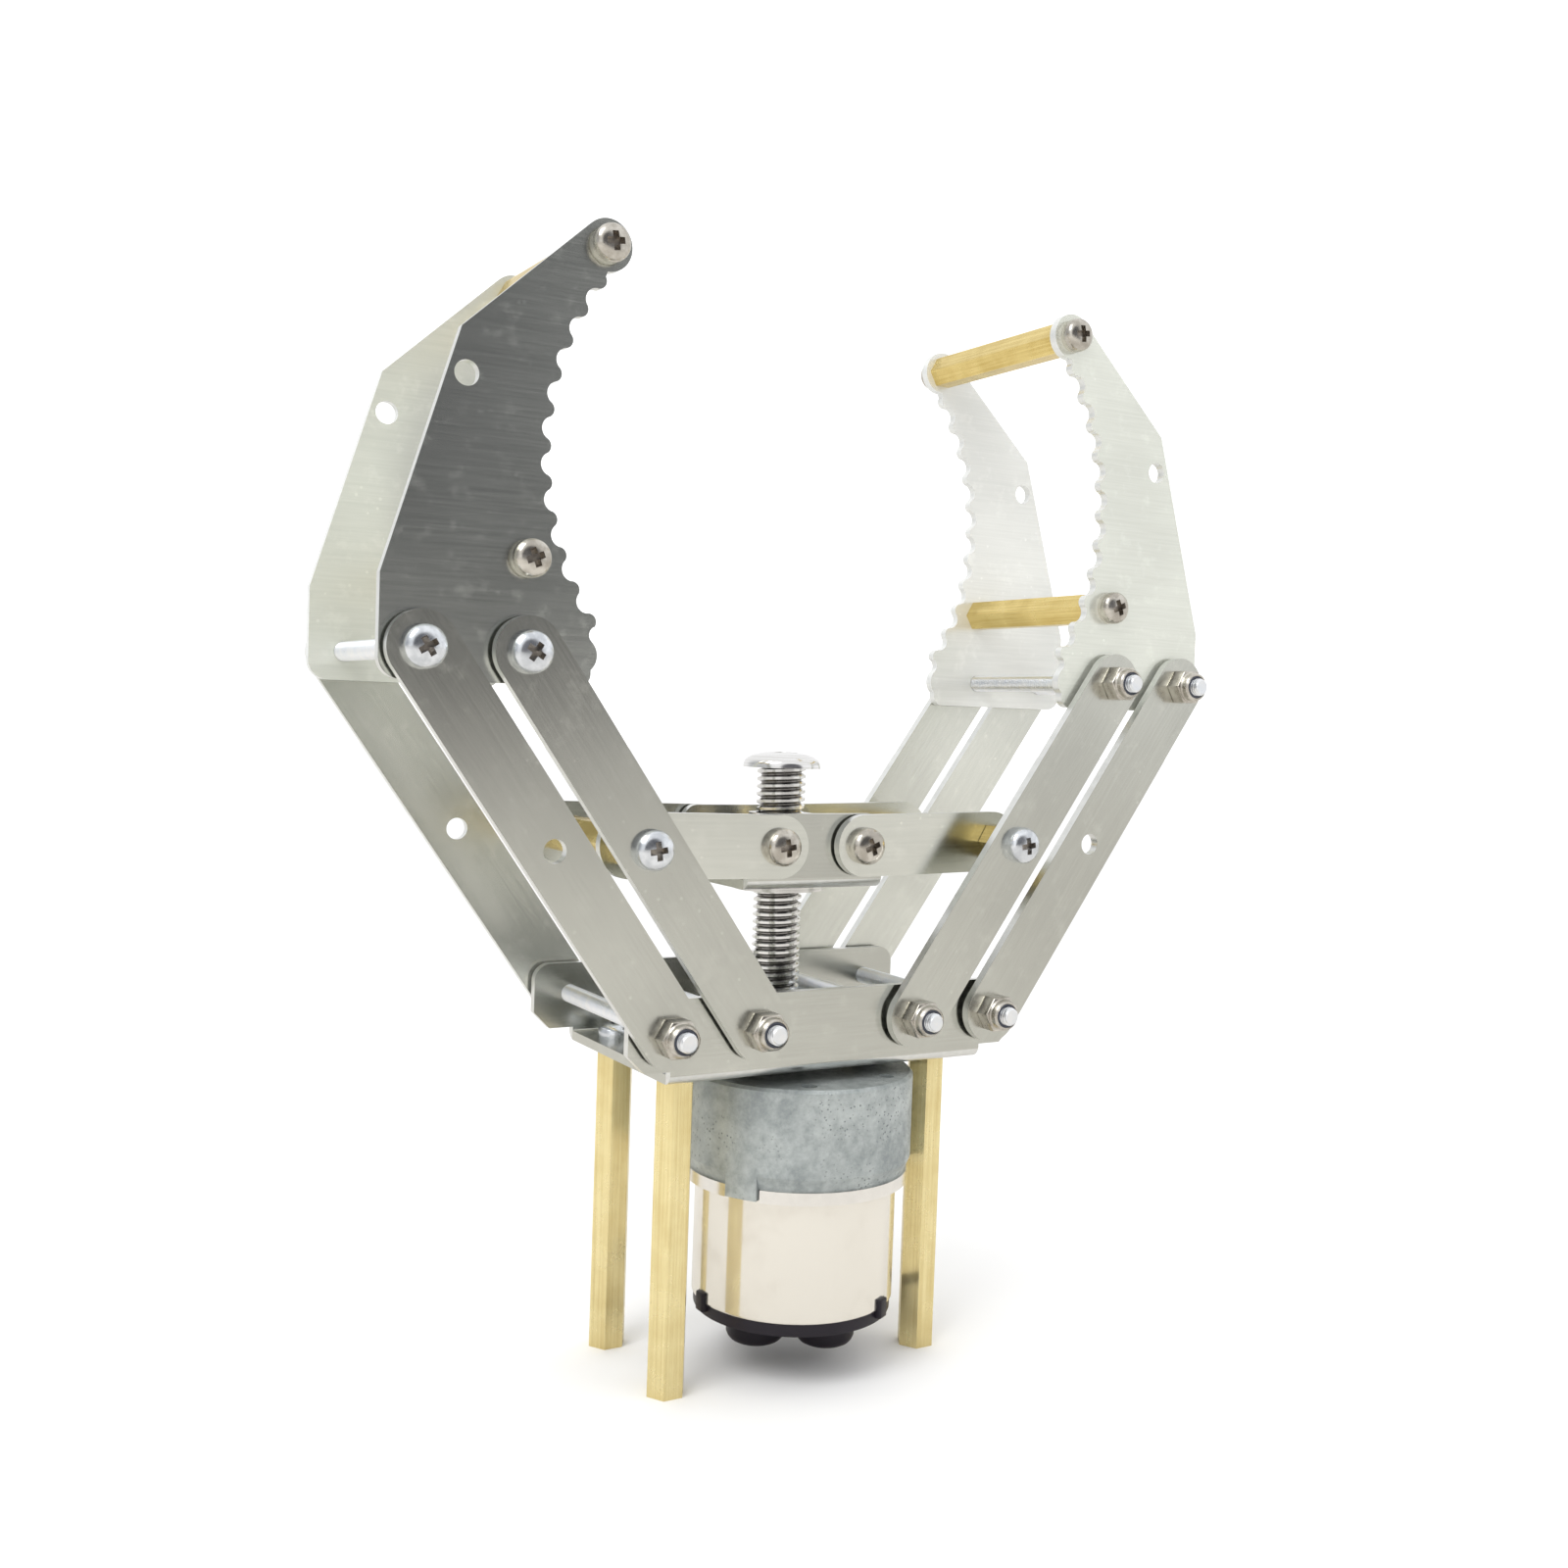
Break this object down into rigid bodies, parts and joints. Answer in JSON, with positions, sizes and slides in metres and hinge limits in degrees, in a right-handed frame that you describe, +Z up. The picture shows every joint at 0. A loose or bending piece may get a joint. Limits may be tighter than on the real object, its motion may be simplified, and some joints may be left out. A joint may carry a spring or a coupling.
{
  "type": "robot gripper claw",
  "caption": "Screw-driven gripper claw: toothed fingers on parallelogram arms, opened and closed by a nut on a lead screw that a gear motor turns.",
  "frame": {"origin": "on the floor, under the axis of the lead screw", "axes": "+X from the lead screw to the right finger, -Y to the front and +Z up, from the motor to the finger tips"},
  "size_m": [0.147, 0.053, 0.174],
  "materials": {
    "sheet": "satin, finely brushed",
    "dark_sheet": "dark brushed",
    "brass": "drawn hexagonal bar",
    "fasteners": "bright zinc plated",
    "drive_steel": "turned",
    "casting": "raw die casting",
    "motor_steel": "nickel plated",
    "cap_plastic": "moulded"
  },
  "bodies": {
    "base": {"base_channel": "sheet", "legs": "brass", "leg_screws": "fasteners", "gearbox_housing": "casting", "gearbox_plate": "motor_steel", "motor_can": "motor_steel", "motor_end_cap": "cap_plastic", "motor_screws": "fasteners", "motor_spacers": "fasteners", "base_pivot_bolts": "fasteners", "base_pivot_nuts": "fasteners", "base_pivot_washers": "fasteners"},
    "lead_screw": {"lead_screw": "drive_steel", "screw_coupling": "drive_steel", "motor_shaft": "drive_steel"},
    "carrier": {"carrier_channel": "sheet", "lead_nut": "drive_steel", "carrier_screws": "fasteners", "carrier_washers": "fasteners", "carrier_nuts": "fasteners"},
    "left_links": {"left_link_front": "sheet", "left_link_back": "sheet", "left_link_spacer": "brass", "left_link_studs": "fasteners"},
    "left_inner_arm": {"left_inner_arm_front": "sheet", "left_inner_arm_back": "sheet", "left_arm_spacers": "brass", "left_arm_screws": "fasteners"},
    "left_outer_arm": {"left_outer_arm_front": "sheet", "left_outer_arm_back": "sheet"},
    "left_finger": {"left_finger_plate_front": "dark_sheet", "left_finger_plate_back": "sheet", "left_finger_spacers": "brass", "left_finger_screws": "fasteners", "left_spring_washers": "fasteners", "left_finger_pivot_bolts": "fasteners", "left_finger_pivot_nuts": "fasteners", "left_finger_pivot_washers": "fasteners"},
    "right_links": {"right_link_front": "sheet", "right_link_back": "sheet", "right_link_spacer": "brass", "right_link_studs": "fasteners"},
    "right_inner_arm": {"right_inner_arm_front": "sheet", "right_inner_arm_back": "sheet", "right_arm_spacers": "brass", "right_arm_screws": "fasteners"},
    "right_outer_arm": {"right_outer_arm_front": "sheet", "right_outer_arm_back": "sheet"},
    "right_finger": {"right_finger_plate_front": "sheet", "right_finger_plate_back": "sheet", "right_finger_spacers": "brass", "right_finger_screws": "fasteners", "right_spring_washers": "fasteners", "right_finger_pivot_bolts": "fasteners", "right_finger_pivot_nuts": "fasteners", "right_finger_pivot_washers": "fasteners"}
  },
  "joints": [
    {"name": "left_inner_arm", "type": "hinge", "parent": "base", "child": "left_inner_arm", "pos_m": [-0.01425, 0, 0.0579], "axis": [0, 1, 0], "range_deg": [0, 34.3]},
    {"name": "left_outer_arm", "type": "hinge", "parent": "base", "child": "left_outer_arm", "pos_m": [-0.02925, 0, 0.0579], "axis": [0, 1, 0], "range_deg": [0, 34.3]},
    {"name": "left_finger", "type": "hinge", "parent": "left_inner_arm", "child": "left_finger", "pos_m": [-0.05314, 0, 0.11283], "axis": [0, -1, 0], "range_deg": [0, 34.3]},
    {"name": "right_inner_arm", "type": "hinge", "parent": "base", "child": "right_inner_arm", "pos_m": [0.01425, 0, 0.0579], "axis": [0, -1, 0], "range_deg": [0, 34.3]},
    {"name": "right_outer_arm", "type": "hinge", "parent": "base", "child": "right_outer_arm", "pos_m": [0.02925, 0, 0.0579], "axis": [0, -1, 0], "range_deg": [0, 34.3]},
    {"name": "right_finger", "type": "hinge", "parent": "right_inner_arm", "child": "right_finger", "pos_m": [0.05314, 0, 0.11283], "axis": [0, 1, 0], "range_deg": [0, 34.3]},
    {"name": "carrier_slide", "type": "slide", "parent": "base", "child": "carrier", "axis": [0, 0, -1], "range_m": [0, 0.01822]},
    {"name": "left_links", "type": "hinge", "parent": "carrier", "child": "left_links", "pos_m": [-0.00785, 0, 0.08487], "axis": [0, 1, 0], "range_deg": [0, 73.3]},
    {"name": "right_links", "type": "hinge", "parent": "carrier", "child": "right_links", "pos_m": [0.00785, 0, 0.08487], "axis": [0, -1, 0], "range_deg": [0, 73.3]},
    {"name": "lead_screw", "type": "hinge", "parent": "base", "child": "lead_screw", "pos_m": [0, 0, 0], "axis": [0, 0, 1], "range_deg": [0, 5250]}
  ],
  "couplings": [
    {"joint": "left_outer_arm", "follows": "left_inner_arm", "ratio": 1},
    {"joint": "left_finger", "follows": "left_inner_arm", "ratio": 1},
    {"joint": "right_inner_arm", "follows": "left_inner_arm", "ratio": 1},
    {"joint": "right_outer_arm", "follows": "left_inner_arm", "ratio": 1},
    {"joint": "right_finger", "follows": "left_inner_arm", "ratio": 1},
    {"joint": "carrier_slide", "follows": "left_inner_arm", "m_per_rad": 0.030417},
    {"joint": "left_links", "follows": "left_inner_arm", "ratio": 2.1346},
    {"joint": "right_links", "follows": "left_inner_arm", "ratio": 2.1346},
    {"joint": "lead_screw", "follows": "left_inner_arm", "ratio": 152.9}
  ]
}
